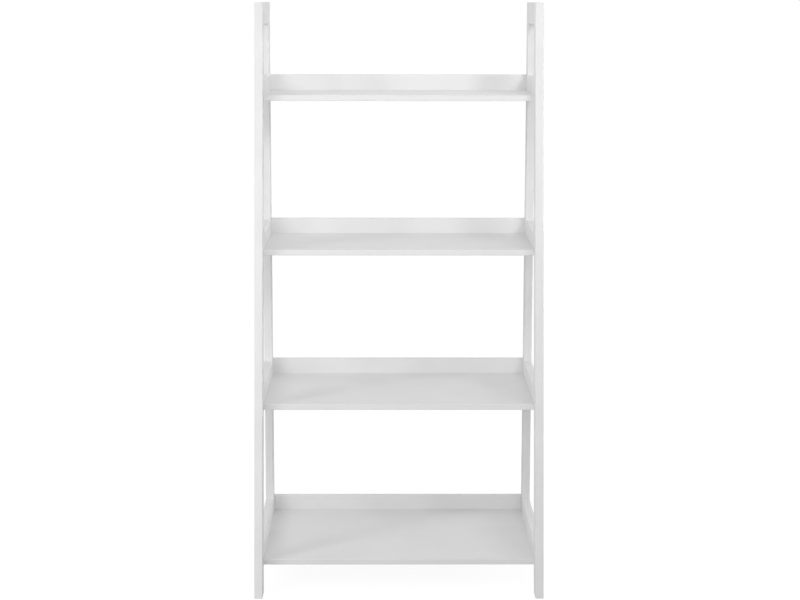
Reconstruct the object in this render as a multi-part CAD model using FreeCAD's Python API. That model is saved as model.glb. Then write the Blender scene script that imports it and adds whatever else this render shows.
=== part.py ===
import FreeCAD, Part
import math
import os

from FreeCAD import Vector

# A ladder-style bookcase: two side frames, each with an upright rear leg and a front leg that leans
# back, carry four shelves that get deeper towards the floor. All sizes are in millimetres.
# X runs to the right, Y to the rear and Z up, from the floor under the middle of the bookcase.

# Overall size
overall_width = 630.0
overall_depth = 460.0
overall_height = 1280.0
front_lean = 214.0            # how far a front leg leans to the rear between foot and top

# Boards of the side frames
frame_thickness = 18.0        # legs and rungs, along X
leg_width = 44.0              # square to the leg's length
rung_height = 48.0
leg_edge_radius = 2.0
rung_edge_radius = 2.0

# Tenons at both ends of every rung and rail, glued into blind mortises in the legs
rung_tenon_thickness = 8.0
rung_tenon_height = 32.0
rung_tenon_length = 24.0
rail_tenon_thickness = 6.0
rail_tenon_height = 24.0
rail_tenon_length = 9.0
joint_side_gap = 0.1          # between a tenon or tongue and the walls round it
joint_end_gap = 1.0           # between a tenon or tongue and the bottom of its mortise or groove

# Shelves, and the rails along their rear edges
shelf_count = 4
bottom_shelf_top = 74.0       # above the floor
top_bay_height = 201.0        # from the top shelf to the leg tops
shelf_thickness = 12.5
shelf_setback = 38.0          # from the front legs' front face to the shelf's front edge
shelf_edge_radius = 1.2       # along the front, on top and underneath
rail_thickness = 12.5
tongue_thickness = 5.0        # along the shelf's rear edge, in a groove in the rail
tongue_depth = 5.0
rail_edge_radius = 2.0
board_end_gap = 0.2           # between a side frame and each end of a shelf or rail

# Countersunk wood screws through the rungs into the shelves' ends
screw_length = 45.0
screw_diameter = 4.0
screw_head_diameter = 7.6
recess_length = 4.0           # each wing of the cross recess in the head
recess_width = 1.1
recess_depth = 1.2
screw_side_gap = 0.1
screw_end_gap = 1.0
rung_screw_share = 0.28       # along the rung, from the front leg to the rear leg
cut_overrun = 2.0             # how far a hole or recess is cut past the face that it opens

# Places that follow from the sizes above
half_width = overall_width / 2
half_depth = overall_depth / 2
frame_middle = half_width - frame_thickness / 2
board_half_length = half_width - frame_thickness - board_end_gap
lean_angle = math.atan2(front_lean, overall_height)
front_leg_depth = leg_width / math.cos(lean_angle)
rear_leg_front = half_depth - leg_width
rail_front = half_depth - rail_thickness
shelf_pitch = (overall_height - top_bay_height - bottom_shelf_top) / (shelf_count - 1)
shelf_tops = [bottom_shelf_top + shelf_pitch * level for level in range(shelf_count)]
rung_bottoms = [top - shelf_thickness for top in shelf_tops]
top_rung_bottom = overall_height - rung_height

right = Vector(1, 0, 0)
rearward = Vector(0, 1, 0)
up = Vector(0, 0, 1)
full_turn = 360
parallel_limit = 1e-6
sides = {"left": -1, "right": 1}


def front_leg_front(height):
    return -half_depth + front_lean * height / overall_height


def front_leg_rear(height):
    return front_leg_front(height) + front_leg_depth


def frame_board(side, outline, thickness):
    # A board in a side frame: an outline in Y and Z, given its thickness along X
    low_x = side * frame_middle - thickness / 2
    points = [Vector(low_x, y, z) for y, z in outline]
    face = Part.Face(Part.makePolygon(points + points[:1]))
    return face.extrude(right * thickness)


def cross_board(half_length, front, rear, bottom, top):
    # A board that runs from side to side
    corner = Vector(-half_length, front, bottom)
    return Part.makeBox(2 * half_length, rear - front, top - bottom, corner)


def edges_along(board, direction):
    edges = []
    for edge in board.Edges:
        tangent = edge.tangentAt(edge.FirstParameter)
        if tangent.cross(direction).Length < parallel_limit:
            edges.append(edge)
    return edges


def without(board, holes):
    return board.cut(Part.makeCompound(holes))


def rung_outline(bottom, top, reach):
    # The front end follows the slope of the front leg and the rear end is upright. Reach is how far
    # both ends go into the legs.
    return [
        (front_leg_rear(bottom) - reach, bottom),
        (rear_leg_front + reach, bottom),
        (rear_leg_front + reach, top),
        (front_leg_rear(top) - reach, top),
    ]


def rung_core(side, rung_bottom, side_gap, end_gap):
    # The middle of a rung, which runs out into a tenon at both ends
    middle = rung_bottom + rung_height / 2
    half_height = rung_tenon_height / 2 + side_gap
    outline = rung_outline(middle - half_height, middle + half_height, rung_tenon_length + end_gap)
    return frame_board(side, outline, rung_tenon_thickness + 2 * side_gap)


def rail_core(shelf_top, side_gap, end_gap):
    # The middle of a rail, above its groove, which runs out into a tenon at both ends
    half_length = half_width - frame_thickness + rail_tenon_length + end_gap
    middle_y = half_depth - rail_thickness / 2
    middle_z = shelf_top + (rung_height - shelf_thickness) / 2
    half_thickness = rail_tenon_thickness / 2 + side_gap
    half_height = rail_tenon_height / 2 + side_gap
    return cross_board(
        half_length,
        middle_y - half_thickness,
        middle_y + half_thickness,
        middle_z - half_height,
        middle_z + half_height,
    )


def shelf_tongue(shelf_top, side_gap, end_gap):
    # Starts inside the shelf, so that shelf and tongue are one solid
    front = rail_front - tongue_depth
    rear = rail_front + tongue_depth + end_gap
    middle = shelf_top - shelf_thickness / 2
    half_height = tongue_thickness / 2 + side_gap
    return cross_board(board_half_length, front, rear, middle - half_height, middle + half_height)


def rung_mortises(side):
    bottoms = rung_bottoms + [top_rung_bottom]
    return [rung_core(side, bottom, joint_side_gap, joint_end_gap) for bottom in bottoms]


def rail_mortises():
    return [rail_core(top, joint_side_gap, joint_end_gap) for top in shelf_tops]


def screw_form(side_gap, end_gap):
    # Countersunk head and plain shank, turned about the screw's axis
    head = screw_head_diameter / 2 + side_gap
    shank = screw_diameter / 2 + side_gap
    end = screw_length + end_gap
    outline = [(0, 0), (head, 0), (shank, head - shank), (shank, end), (0, end)]
    points = [Vector(radius, 0, depth) for radius, depth in outline]
    face = Part.Face(Part.makePolygon(points + points[:1]))
    return face.revolve(Vector(0, 0, 0), up, full_turn)


def driven(form, head_at, direction):
    form.Placement = FreeCAD.Placement(head_at, FreeCAD.Rotation(up, direction))
    return form


def recess_wing(half_x, half_y):
    corner = Vector(-half_x, -half_y, -cut_overrun)
    return Part.makeBox(2 * half_x, 2 * half_y, cut_overrun + recess_depth, corner)


def screw(head_at, direction):
    wing = recess_wing(recess_length / 2, recess_width / 2)
    cross = wing.fuse(recess_wing(recess_width / 2, recess_length / 2))
    return driven(screw_form(0, 0).cut(cross), head_at, direction)


def screw_hole(head_at, direction):
    mouth_radius = screw_head_diameter / 2 + screw_side_gap
    mouth = Part.makeCylinder(mouth_radius, cut_overrun, up * -cut_overrun)
    return driven(screw_form(screw_side_gap, screw_end_gap).fuse(mouth), head_at, direction)


def shelf_screw(side, top, maker):
    # Through a rung into the middle of the shelf's end
    height = top - shelf_thickness / 2
    front_end = front_leg_rear(height)
    y = front_end + rung_screw_share * (rear_leg_front - front_end)
    return maker(Vector(side * half_width, y, height), right * -side)


def leg(side, outline, lengthwise):
    board = frame_board(side, outline, frame_thickness)
    return board.makeFillet(leg_edge_radius, edges_along(board, lengthwise))


def front_leg(side):
    outline = [
        (front_leg_front(0), 0),
        (front_leg_rear(0), 0),
        (front_leg_rear(overall_height), overall_height),
        (front_leg_front(overall_height), overall_height),
    ]
    return without(leg(side, outline, Vector(0, front_lean, overall_height)), rung_mortises(side))


def rear_leg(side):
    outline = [
        (rear_leg_front, 0),
        (half_depth, 0),
        (half_depth, overall_height),
        (rear_leg_front, overall_height),
    ]
    return without(leg(side, outline, up), rung_mortises(side) + rail_mortises())


def rung(side, bottom):
    outline = rung_outline(bottom, bottom + rung_height, 0)
    board = frame_board(side, outline, frame_thickness)
    board = board.makeFillet(rung_edge_radius, edges_along(board, rearward))
    return board.fuse(rung_core(side, bottom, 0, 0))


def shelf_rung(side, top):
    return without(rung(side, top - shelf_thickness), [shelf_screw(side, top, screw_hole)])


def shelf(top):
    front = front_leg_front(top) + shelf_setback
    board = cross_board(board_half_length, front, rail_front, top - shelf_thickness, top)
    nose = [edge for edge in edges_along(board, right) if edge.CenterOfMass.y < rail_front]
    board = board.makeFillet(shelf_edge_radius, nose).fuse(shelf_tongue(top, 0, 0))
    return without(board, [shelf_screw(side, top, screw_hole) for side in sides.values()])


def back_rail(top):
    bottom = top - shelf_thickness
    board = cross_board(board_half_length, rail_front, half_depth, bottom, bottom + rung_height)
    rim = [edge for edge in edges_along(board, right) if edge.CenterOfMass.z > bottom]
    board = board.makeFillet(rail_edge_radius, rim)
    groove = shelf_tongue(top, joint_side_gap, joint_end_gap)
    return board.cut(groove).fuse(rail_core(top, 0, 0))


def save(node, shape):
    shape.exportStep(os.path.join("parts", node + ".step"))


os.makedirs("parts", exist_ok=True)

for name, side in sides.items():
    save(name + "_front_leg", front_leg(side))
    save(name + "_rear_leg", rear_leg(side))
    save(name + "_top_rung", rung(side, top_rung_bottom))
    for level, top in enumerate(shelf_tops, start=1):
        save(name + "_rung_" + str(level), shelf_rung(side, top))
    screws = [shelf_screw(side, top, screw) for top in shelf_tops]
    save(name + "_shelf_screws", Part.makeCompound(screws))

for level, top in enumerate(shelf_tops, start=1):
    save("shelf_" + str(level), shelf(top))
    save("back_rail_" + str(level), back_rail(top))
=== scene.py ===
import math

import bmesh
import bpy
from mathutils import Euler, Matrix, Vector


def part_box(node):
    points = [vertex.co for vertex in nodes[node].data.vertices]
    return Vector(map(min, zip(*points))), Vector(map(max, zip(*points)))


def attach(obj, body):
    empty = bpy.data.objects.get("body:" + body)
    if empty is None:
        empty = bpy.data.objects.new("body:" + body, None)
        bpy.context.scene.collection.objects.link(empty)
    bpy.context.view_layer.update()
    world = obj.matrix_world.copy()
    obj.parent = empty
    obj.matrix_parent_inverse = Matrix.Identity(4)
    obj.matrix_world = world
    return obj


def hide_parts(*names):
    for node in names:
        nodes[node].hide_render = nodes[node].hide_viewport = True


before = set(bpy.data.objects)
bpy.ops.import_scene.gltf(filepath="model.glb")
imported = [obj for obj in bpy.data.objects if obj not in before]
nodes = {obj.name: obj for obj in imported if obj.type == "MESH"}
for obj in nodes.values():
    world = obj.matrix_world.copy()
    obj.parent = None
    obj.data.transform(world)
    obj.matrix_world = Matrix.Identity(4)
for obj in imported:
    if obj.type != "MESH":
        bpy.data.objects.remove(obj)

scene = bpy.context.scene
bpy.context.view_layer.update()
sides = ("left", "right")
levels = (1, 2, 3, 4)  # shelf levels, counted from the floor
hair = 1e-6  # metres: points closer than this lie in the same place
quarterTurn = math.pi / 2
print("frame:", len(nodes), "nodes")


# node helpers, shared by the materials, the floor, the sky and the screws

nodeStep = 200  # from node to node in the editor


def addNode(tree, kind, inputs=None, **settings):
    # an input takes either a link from another node or a plain value
    node = tree.nodes.new(kind)
    node.location = (nodeStep * len(tree.nodes), 0)
    for name, value in settings.items():
        setattr(node, name, value)
    for name, value in (inputs or {}).items():
        if isinstance(value, bpy.types.NodeSocket):
            wire(tree, value, node.inputs[name])
        else:
            node.inputs[name].default_value = value
    return node


def wire(tree, start, end):
    tree.links.new(start, end)


def addMath(tree, operation, *values):
    return addNode(tree, "ShaderNodeMath", dict(enumerate(values)), operation=operation).outputs[0]


def addMix(tree, share, first, second, kind="FLOAT"):
    inputs = {"Factor": share, "A": first, "B": second}
    return addNode(tree, "ShaderNodeMix", inputs, data_type=kind).outputs["Result"]


def addGroup(tree, group, inputs):
    return addNode(tree, "ShaderNodeGroup", inputs, node_tree=group).outputs


def floats(*labels):
    return dict.fromkeys(labels, "NodeSocketFloat")


def newGroup(name, treeType, inputs, outputs):
    tree = bpy.data.node_groups.new(name, treeType)
    for flow, sockets in (("INPUT", inputs), ("OUTPUT", outputs)):
        for label, kind in sockets.items():
            tree.interface.new_socket(name=label, in_out=flow, socket_type=kind)
    return tree, addNode(tree, "NodeGroupInput").outputs, addNode(tree, "NodeGroupOutput").inputs


def addObject(name, data):
    thing = bpy.data.objects.new(name, data)
    scene.collection.objects.link(thing)
    return thing


# noise textures of the finishes

noiseLook = {
    "peel": {"Detail": 2.0, "Roughness": 0.45},
    "wave": {"Detail": 3.0, "Roughness": 0.5},
    "ridges": {"Detail": 3.0, "Roughness": 0.6, "Distortion": 0.3},
    "middle": {"From Min": 0.3, "From Max": 0.7},  # most of any noise lies between these
}


def addNoise(tree, place, scale, texture):
    inputs = {"Vector": place, "Scale": scale, **noiseLook[texture]}
    return addNode(tree, "ShaderNodeTexNoise", inputs).outputs["Fac"]


def spread(tree, noise):
    # the middle of the noise is drawn out to the whole of 0 to 1
    inputs = {"Value": noise, **noiseLook["middle"]}
    return addNode(tree, "ShaderNodeMapRange", inputs).outputs["Result"]


# sprayed paint: fine orange peel, slow waves in the film, and patches that shine a little more or less

def makeSprayedPaint():
    tree, given, made = newGroup("sprayedPaint", "ShaderNodeTree", {
        "Vector": "NodeSocketVector",
        **floats("Peel Scale", "Peel Share", "Wave Scale", "Gloss Low", "Gloss High"),
    }, floats("Height", "Roughness", "Mottle"))
    peel = addNoise(tree, given["Vector"], given["Peel Scale"], "peel")
    wave = addNoise(tree, given["Vector"], given["Wave Scale"], "wave")
    mottle = spread(tree, wave)
    wire(tree, addMix(tree, given["Peel Share"], wave, peel), made["Height"])
    wire(tree, addMix(tree, mottle, given["Gloss Low"], given["Gloss High"]), made["Roughness"])
    wire(tree, mottle, made["Mottle"])
    return tree


# grain that shows through the paint as faint ridges, running along the Z of the vector it is given

def makeRaisedGrain():
    tree, given, made = newGroup("raisedGrain", "ShaderNodeTree", {
        "Vector": "NodeSocketVector",
        **floats("Across", "Stretch"),
    }, floats("Height"))
    apart = addNode(tree, "ShaderNodeSeparateXYZ", {"Vector": given["Vector"]}).outputs
    drawn = addNode(tree, "ShaderNodeCombineXYZ", {
        "X": apart["X"],
        "Y": apart["Y"],
        "Z": addMath(tree, "MULTIPLY", apart["Z"], given["Stretch"]),
    }).outputs["Vector"]
    ridges = addNoise(tree, drawn, given["Across"], "ridges")
    wire(tree, spread(tree, ridges), made["Height"])
    return tree


# cut end of a leg, above a level: open pores that drink the paint

def makeCutEnd():
    tree, given, made = newGroup("cutEnd", "ShaderNodeTree", {
        "Vector": "NodeSocketVector",
        **floats("Level", "Pore Scale"),
    }, floats("Mask", "Pores"))
    apart = addNode(tree, "ShaderNodeSeparateXYZ", {"Vector": given["Vector"]}).outputs
    mask = addMath(tree, "GREATER_THAN", apart["Z"], given["Level"])
    pores = addNode(tree, "ShaderNodeTexVoronoi", {
        "Vector": given["Vector"],
        "Scale": given["Pore Scale"],
    }).outputs["Distance"]
    wire(tree, mask, made["Mask"])
    wire(tree, addMath(tree, "MULTIPLY", pores, mask), made["Pores"])
    return tree


sprayedPaint = makeSprayedPaint()
raisedGrain = makeRaisedGrain()
cutEnd = makeCutEnd()


def newMaterial(name):
    material = bpy.data.materials.new(name)
    material.use_nodes = True
    tree = material.node_tree
    return material, tree, tree.nodes["Principled BSDF"]


def dressShader(tree, shader, look, thinness, roughness, height):
    tone = addMix(tree, thinness, look["tone"], look["thinTone"], "RGBA")
    relief = {"Height": height, "Strength": look["bump"], "Distance": look["filmDepth"]}
    wire(tree, tone, shader.inputs["Base Color"])
    wire(tree, roughness, shader.inputs["Roughness"])
    wire(tree, addNode(tree, "ShaderNodeBump", relief).outputs["Normal"], shader.inputs["Normal"])


# white satin paint, on wood with a little grain or on smooth fibreboard without
# scales count bumps, waves, ridges or pores to the metre, and depths are in metres

paintLook = {
    "tone": (0.84, 0.84, 0.84, 1.0),
    "thinTone": (0.78, 0.78, 0.78, 1.0),  # where the film is thinner
    "wood": {
        "Peel Scale": 420.0,
        "Peel Share": 0.4,
        "Wave Scale": 14.0,
        "Gloss Low": 0.45,
        "Gloss High": 0.57,
    },
    "board": {
        "Peel Scale": 520.0,
        "Peel Share": 0.55,
        "Wave Scale": 9.0,
        "Gloss Low": 0.42,
        "Gloss High": 0.52,
    },
    "grain": {"Across": 260.0, "Stretch": 0.02},
    "grainHeight": 0.8,  # ridges of the grain, against the film's own relief
    "grainTone": 0.45,  # share of the grain, against the spray's mottle, in the tone
    "boardTone": 0.4,  # share of the mottle that smooth board keeps
    "boardMiddle": 0.5,  # thinness that makes up the rest on board
    "endPores": 1300.0,
    "endDepth": 0.0005,  # how far below a leg's top its cut end begins
    "endRough": 0.12,
    "endThin": 0.3,
    "filmDepth": 0.00025,
    "bump": 0.6,
}


def makePaint(name, film, grainTurn=None, endLevel=None):
    material, tree, shader = newMaterial(name)
    place = addNode(tree, "ShaderNodeTexCoord").outputs["Object"]
    paint = addGroup(tree, sprayedPaint, {"Vector": place, **film})
    height, roughness, thinness = paint["Height"], paint["Roughness"], paint["Mottle"]
    if grainTurn is None:
        thinness = addMix(tree, paintLook["boardTone"], paintLook["boardMiddle"], thinness)
    else:
        turned = addNode(tree, "ShaderNodeMapping", {"Vector": place, "Rotation": grainTurn})
        along = {"Vector": turned.outputs["Vector"], **paintLook["grain"]}
        grain = addGroup(tree, raisedGrain, along)["Height"]
        height = addMath(tree, "MULTIPLY_ADD", grain, paintLook["grainHeight"], height)
        thinness = addMix(tree, paintLook["grainTone"], thinness, grain)
    if endLevel is not None:
        end = addGroup(tree, cutEnd, {
            "Vector": place,
            "Level": endLevel,
            "Pore Scale": paintLook["endPores"],
        })
        height = addMath(tree, "ADD", height, end["Pores"])
        roughness = addMath(tree, "MULTIPLY_ADD", end["Mask"], paintLook["endRough"], roughness)
        thinness = addMath(tree, "MULTIPLY_ADD", end["Mask"], paintLook["endThin"], thinness)
    dressShader(tree, shader, paintLook, thinness, roughness, height)
    return material


legFoot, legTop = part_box("left_front_leg")
topRims = [v.co.y for v in nodes["left_front_leg"].data.vertices if v.co.z > legTop.z - hair]
lean = math.atan2(min(topRims) - legFoot.y, legTop.z - legFoot.z)
endLevel = legTop.z - paintLook["endDepth"]

uprightPaint = makePaint("uprightPaint", paintLook["wood"], (0, 0, 0), endLevel)
leaningPaint = makePaint("leaningPaint", paintLook["wood"], (lean, 0, 0), endLevel)
rungPaint = makePaint("rungPaint", paintLook["wood"], (quarterTurn, 0, 0))
shelfPaint = makePaint("shelfPaint", paintLook["board"])
print("paint: lean of the front legs", round(math.degrees(lean), 2), "degrees")


def coat(piece, material):
    piece.data.materials.clear()
    piece.data.materials.append(material)
    piece.data.polygons.foreach_set("material_index", [0] * len(piece.data.polygons))


for side in sides:
    coat(nodes[side + "_top_rung"], rungPaint)
    for level in levels:
        coat(nodes[side + "_rung_" + str(level)], rungPaint)
for level in levels:
    coat(nodes["shelf_" + str(level)], shelfPaint)
    coat(nodes["back_rail_" + str(level)], shelfPaint)
print("paint: rungs, shelves and rails coated")


def keepPiece(piece, slot, *stoodFor):
    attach(piece, "root")
    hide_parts(*stoodFor)


# legs with their cut ends eased by sandpaper

legEnds = {
    "round": 0.0014,  # metres
    "steps": 3,
    "profile": 0.5,  # a round one
    "flat": math.radians(0.5),  # faces that meet at less than this are joined before the easing
}


def easeLeg(node, material):
    low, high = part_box(node)
    shape = bmesh.new()
    shape.from_mesh(nodes[node].data)
    bmesh.ops.remove_doubles(shape, verts=shape.verts, dist=hair)
    bmesh.ops.dissolve_limit(shape, angle_limit=legEnds["flat"], verts=shape.verts, edges=shape.edges)
    rims = []
    for edge in shape.edges:
        heights = [vert.co.z for vert in edge.verts]
        if max(heights) < low.z + hair or min(heights) > high.z - hair:
            rims.append(edge)
    bmesh.ops.bevel(shape, geom=rims, offset=legEnds["round"], segments=legEnds["steps"],
                    profile=legEnds["profile"], affect="EDGES", clamp_overlap=True)
    mesh = bpy.data.meshes.new("eased_" + node)
    shape.to_mesh(mesh)
    shape.free()
    piece = addObject("eased_" + node, mesh)
    coat(piece, material)
    keepPiece(piece, "frame_paint", node)
    return len(rims)


for side in sides:
    frontRims = easeLeg(side + "_front_leg", leaningPaint)
    rearRims = easeLeg(side + "_rear_leg", uprightPaint)
    print("legs:", side, frontRims, "and", rearRims, "rim edges eased")


# zinc plating of the screws

zincLook = {
    "tone": (0.70, 0.71, 0.73, 1.0),
    "thinTone": (0.56, 0.57, 0.58, 1.0),
    "plating": {
        "Peel Scale": 900.0,
        "Peel Share": 0.6,
        "Wave Scale": 160.0,
        "Gloss Low": 0.42,
        "Gloss High": 0.58,
    },
    "filmDepth": 0.00005,
    "bump": 0.2,
    "metallic": 1.0,
}


def makeZinc():
    material, tree, shader = newMaterial("screwZinc")
    place = addNode(tree, "ShaderNodeTexCoord").outputs["Object"]
    plating = addGroup(tree, sprayedPaint, {"Vector": place, **zincLook["plating"]})
    dressShader(tree, shader, zincLook, plating["Mottle"], plating["Roughness"], plating["Height"])
    shader.inputs["Metallic"].default_value = zincLook["metallic"]
    return material


# screws with a cross recess and a cut thread

screwLook = {
    "sizes": {  # metres
        "Head Radius": 0.0038,
        "Head Depth": 0.0018,
        "Shank Radius": 0.0015,
        "Thread Radius": 0.0005,
        "Length": 0.045,
        "Point": 0.005,
        "Pitch": 0.0018,
        "Recess Span": 0.0040,
        "Recess Width": 0.0011,
        "Recess Depth": 0.0012,
    },
    "recessTopShare": 1.6,  # of a wing's size at the head's top, one depth above it
    "recessBottomShare": 0.4,  # and one depth below it
    "headFacets": 32,
    "shankFacets": 20,
    "threadFacets": 3,
    "threadSteps": 12,  # to a turn
    "turnSeed": 7,
}
cornerShare = math.sqrt(0.5)  # from the middle of a square to its corner, against its side


def makeScrewTree():
    tree, given, made = newGroup("countersunkScrews", "GeometryNodeTree", {
        "Geometry": "NodeSocketGeometry",
        **floats(*screwLook["sizes"]),
        "Finish": "NodeSocketMaterial",
    }, {"Geometry": "NodeSocketGeometry"})

    def times(value, factor):
        return addMath(tree, "MULTIPLY", value, factor)

    def vector(x=0.0, y=0.0, z=0.0):
        return addNode(tree, "ShaderNodeCombineXYZ", {"X": x, "Y": y, "Z": z}).outputs["Vector"]

    def cone(facets, top, bottom, depth):
        inputs = {"Vertices": facets, "Radius Top": top, "Radius Bottom": bottom, "Depth": depth}
        return addNode(tree, "GeometryNodeMeshCone", inputs).outputs["Mesh"]

    def placed(geometry, places):
        return addNode(tree, "GeometryNodeTransform", {"Geometry": geometry, **places}).outputs["Geometry"]

    def lowered(geometry, depth):
        return placed(geometry, {"Translation": vector(z=times(depth, -1.0))})

    # the head's top lies at zero and the screw points down
    head = cone(screwLook["headFacets"], given["Head Radius"], given["Shank Radius"], given["Head Depth"])
    head = lowered(head, given["Head Depth"])

    # each wing of the recess is a four-sided cone, from one unit below the head's top to one above
    wing = cone(4, screwLook["recessTopShare"], screwLook["recessBottomShare"], 2.0)
    wing = placed(wing, {"Translation": (0, 0, -1), "Rotation": (0, 0, quarterTurn / 2)})
    for across, along in (("Recess Span", "Recess Width"), ("Recess Width", "Recess Span")):
        corner = [times(given[name], cornerShare) for name in (across, along)]
        sized = placed(wing, {"Scale": vector(*corner, given["Recess Depth"])})
        head = addNode(tree, "GeometryNodeMeshBoolean", {"Mesh 1": head, "Mesh 2": sized},
                       operation="DIFFERENCE", solver="MANIFOLD").outputs["Mesh"]

    shankEnd = addMath(tree, "SUBTRACT", given["Length"], given["Point"])
    shankLength = addMath(tree, "SUBTRACT", shankEnd, given["Head Depth"])
    shank = addNode(tree, "GeometryNodeMeshCylinder", {
        "Vertices": screwLook["shankFacets"],
        "Radius": given["Shank Radius"],
        "Depth": shankLength,
    }).outputs["Mesh"]
    shank = lowered(shank, addMath(tree, "ADD", given["Head Depth"], times(shankLength, 0.5)))
    point = cone(screwLook["shankFacets"], given["Shank Radius"], 0.0, given["Point"])
    point = lowered(point, given["Length"])

    spiral = addNode(tree, "GeometryNodeCurveSpiral", {
        "Resolution": screwLook["threadSteps"],
        "Rotations": addMath(tree, "DIVIDE", shankLength, given["Pitch"]),
        "Start Radius": given["Shank Radius"],
        "End Radius": given["Shank Radius"],
        "Height": shankLength,
    }).outputs["Curve"]
    ridge = addNode(tree, "GeometryNodeCurvePrimitiveCircle", {
        "Resolution": screwLook["threadFacets"],
        "Radius": given["Thread Radius"],
    }).outputs["Curve"]
    thread = addNode(tree, "GeometryNodeCurveToMesh", {
        "Curve": spiral,
        "Profile Curve": ridge,
        "Fill Caps": True,
    }).outputs["Mesh"]
    thread = lowered(thread, shankEnd)

    screw = addNode(tree, "GeometryNodeJoinGeometry")
    for part in (head, shank, point, thread):
        wire(tree, part, screw.inputs["Geometry"])

    # each screw faces out of its own side, and stopped turning where it went tight
    spot = addNode(tree, "GeometryNodeInputPosition").outputs["Position"]
    apart = addNode(tree, "ShaderNodeSeparateXYZ", {"Vector": spot}).outputs
    outwards = {"Vector": vector(x=apart["X"])}
    facing = addNode(tree, "FunctionNodeAlignRotationToVector", outwards, axis="Z")
    chance = addNode(tree, "FunctionNodeRandomValue", data_type="FLOAT")
    chance.inputs["Max"].default_value = quarterTurn
    chance.inputs["Seed"].default_value = screwLook["turnSeed"]
    turn = addNode(tree, "FunctionNodeEulerToRotation", {"Euler": vector(z=chance.outputs["Value"])})
    turned = addNode(tree, "FunctionNodeRotateRotation", {
        "Rotation": facing.outputs["Rotation"],
        "Rotate By": turn.outputs["Rotation"],
    }, rotation_space="LOCAL")

    copies = addNode(tree, "GeometryNodeInstanceOnPoints", {
        "Points": given["Geometry"],
        "Instance": screw.outputs["Geometry"],
        "Rotation": turned.outputs["Rotation"],
    })
    real = addNode(tree, "GeometryNodeRealizeInstances", {"Geometry": copies.outputs["Instances"]})
    finish = addNode(tree, "GeometryNodeSetMaterial", {
        "Geometry": real.outputs["Geometry"],
        "Material": given["Finish"],
    })
    wire(tree, finish.outputs["Geometry"], made["Geometry"])
    return tree


def screwSpots(side):
    # where the heads' rims lie flush with the rung's outer face
    node = side + "_shelf_screws"
    low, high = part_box(node)
    face = max(low.x, high.x, key=abs)
    rims = [v.co for v in nodes[node].data.vertices if abs(v.co.x - face) < hair]
    spots = []
    for level in levels:
        bottom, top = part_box("shelf_" + str(level))
        ys = [rim.y for rim in rims if bottom.z < rim.z < top.z]
        spots.append((face, (min(ys) + max(ys)) / 2, (bottom.z + top.z) / 2))
    return spots


def makeScrews(material):
    seats = bpy.data.meshes.new("screwSeats")
    seats.from_pydata([spot for side in sides for spot in screwSpots(side)], [], [])
    maker = addObject("screwMaker", seats)
    modifier = maker.modifiers.new("screws", "NODES")
    modifier.node_group = makeScrewTree()
    values = {**screwLook["sizes"], "Finish": material}
    for item in modifier.node_group.interface.items_tree:
        if item.in_out == "INPUT" and item.name in values:
            modifier[item.identifier] = values[item.name]
    view = bpy.context.evaluated_depsgraph_get()
    mesh = bpy.data.meshes.new_from_object(maker.evaluated_get(view))
    bpy.data.objects.remove(maker)
    piece = addObject("shelf_screws", mesh)
    coat(piece, material)
    keepPiece(piece, "screw_steel", "left_shelf_screws", "right_shelf_screws")
    return piece


screws = makeScrews(makeZinc())
print("screws:", len(screws.data.polygons), "faces")


# what the camera sees, itself or by reflection, is told apart from what lights the object

def rayMask(tree):
    path = addNode(tree, "ShaderNodeLightPath").outputs
    seen = addMath(tree, "MAXIMUM", path["Is Camera Ray"], path["Is Glossy Ray"])
    return addMath(tree, "MAXIMUM", seen, path["Is Transmission Ray"])


def mixShaders(tree, share, first, second):
    return addNode(tree, "ShaderNodeMixShader", {0: share, 1: first, 2: second}).outputs["Shader"]


# pale floor that the camera sees as white, with a trace of the shadow left in it

floorLook = {
    "reach": 40.0,  # metres from the middle
    "tone": (0.50, 0.50, 0.50, 1.0),
    "white": 1.245,  # with the share below, it comes out as white
    "shadowShare": 0.25,  # of the matt floor, which takes the shadow, in what the camera sees
}


def makeFloor():
    reach = floorLook["reach"]
    corners = [(-reach, -reach, 0), (reach, -reach, 0), (reach, reach, 0), (-reach, reach, 0)]
    mesh = bpy.data.meshes.new("floor")
    mesh.from_pydata(corners, [], [range(len(corners))])
    floor = addObject("floor", mesh)
    material = bpy.data.materials.new("paleFloor")
    material.use_nodes = True
    tree = material.node_tree
    tree.nodes.clear()
    matt = addNode(tree, "ShaderNodeBsdfDiffuse", {"Color": floorLook["tone"]}).outputs["BSDF"]
    white = addNode(tree, "ShaderNodeEmission", {"Strength": floorLook["white"]}).outputs["Emission"]
    seenFloor = mixShaders(tree, floorLook["shadowShare"], white, matt)
    either = mixShaders(tree, rayMask(tree), matt, seenFloor)
    addNode(tree, "ShaderNodeOutputMaterial", {"Surface": either})
    mesh.materials.append(material)


# even light from all round, behind which the camera sees plain white

skyLook = {"colour": (1.0, 1.0, 1.0, 1.0), "light": 0.64, "white": 1.0}


def makeSky():
    world = bpy.data.worlds.new("studio")
    scene.world = world
    world.use_nodes = True
    tree = world.node_tree
    tree.nodes.clear()

    def glow(strength):
        inputs = {"Color": skyLook["colour"], "Strength": strength}
        return addNode(tree, "ShaderNodeBackground", inputs).outputs["Background"]

    either = mixShaders(tree, rayMask(tree), glow(skyLook["light"]), glow(skyLook["white"]))
    addNode(tree, "ShaderNodeOutputWorld", {"Surface": either})


# soft boxes: place, aim and side in metres, spread of the beam in degrees, power in watts

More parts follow.
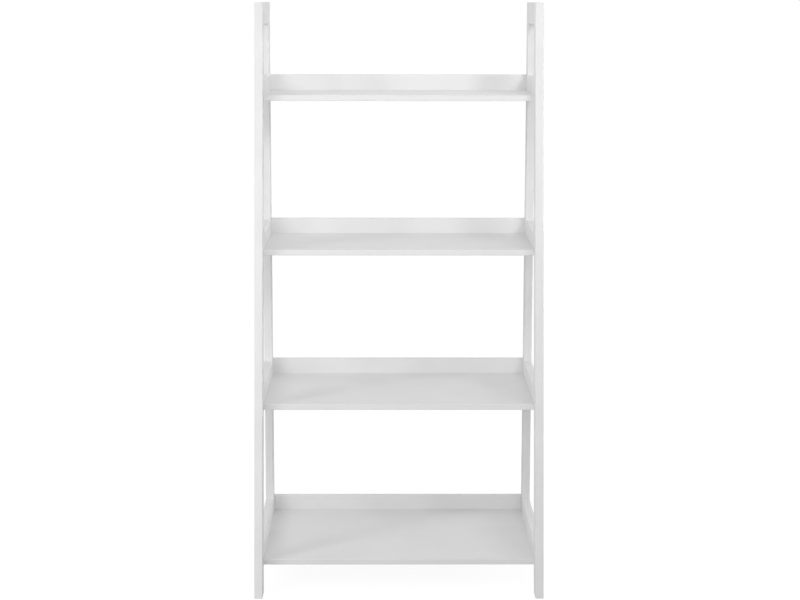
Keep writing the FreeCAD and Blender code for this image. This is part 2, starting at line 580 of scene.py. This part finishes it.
softBoxes = {
    "highBox": {"place": (-2.2, -2.2, 3.0), "aim": (0, 0, 0.7), "side": 0.9, "spread": 180, "power": 12.2},
    "leftBox": {"place": (-2.7, -2.1, 2.2), "aim": (0, 0, 0.7), "side": 0.4, "spread": 180, "power": 13.2},
    "rightBox": {"place": (3.0, 0.2, 1.2), "aim": (0, 0, 0.7), "side": 0.9, "spread": 180, "power": 18.0},
    "topBox": {"place": (1.2, -2.4, 2.3), "aim": (0.1, 0, 1.2), "side": 0.8, "spread": 40, "power": 1.45},
    "lowBox": {"place": (-1.1, -1.6, 0.5), "aim": (0, 0, 0.5), "side": 0.8, "spread": 180, "power": 3.3},
    "frontBox": {"place": (-0.4, -1.7, 0.9), "aim": (0, 0, 0.8), "side": 0.8, "spread": 180, "power": 2.9},
}


def makeSoftBoxes():
    for name, look in softBoxes.items():
        lamp = bpy.data.lights.new(name, "AREA")
        lamp.shape = "SQUARE"
        lamp.size = look["side"]
        lamp.spread = math.radians(look["spread"])
        lamp.energy = look["power"]
        box = addObject(name, lamp)
        towards = Vector(look["aim"]) - Vector(look["place"])
        box.location = look["place"]
        box.rotation_euler = towards.to_track_quat("-Z", "Y").to_euler()
        box.visible_camera = False


# the photograph's point of view: where the camera stands in metres, and how it is turned

cameraView = {
    "place": (-0.02722, -4.10246, 1.30479),
    "down": math.radians(9.461),
    "right": math.radians(0.421),
    "roll": math.radians(-0.085),
    "lens": 83.40,  # millimetres, as the sensor
    "sensor": 36.0,
}


def makeCamera():
    data = bpy.data.cameras.new("photoCamera")
    data.sensor_width = cameraView["sensor"]
    data.lens = cameraView["lens"]
    camera = addObject("photoCamera", data)
    level = Euler((quarterTurn - cameraView["down"], 0, -cameraView["right"]), "XYZ").to_matrix()
    turned = level @ Matrix.Rotation(-cameraView["roll"], 3, "Z")
    camera.location = cameraView["place"]
    camera.rotation_euler = turned.to_euler()
    scene.camera = camera


makeFloor()
makeSky()
makeSoftBoxes()
makeCamera()
scene.view_settings.view_transform = "Standard"
print("studio: floor, sky,", len(softBoxes), "soft boxes, camera")
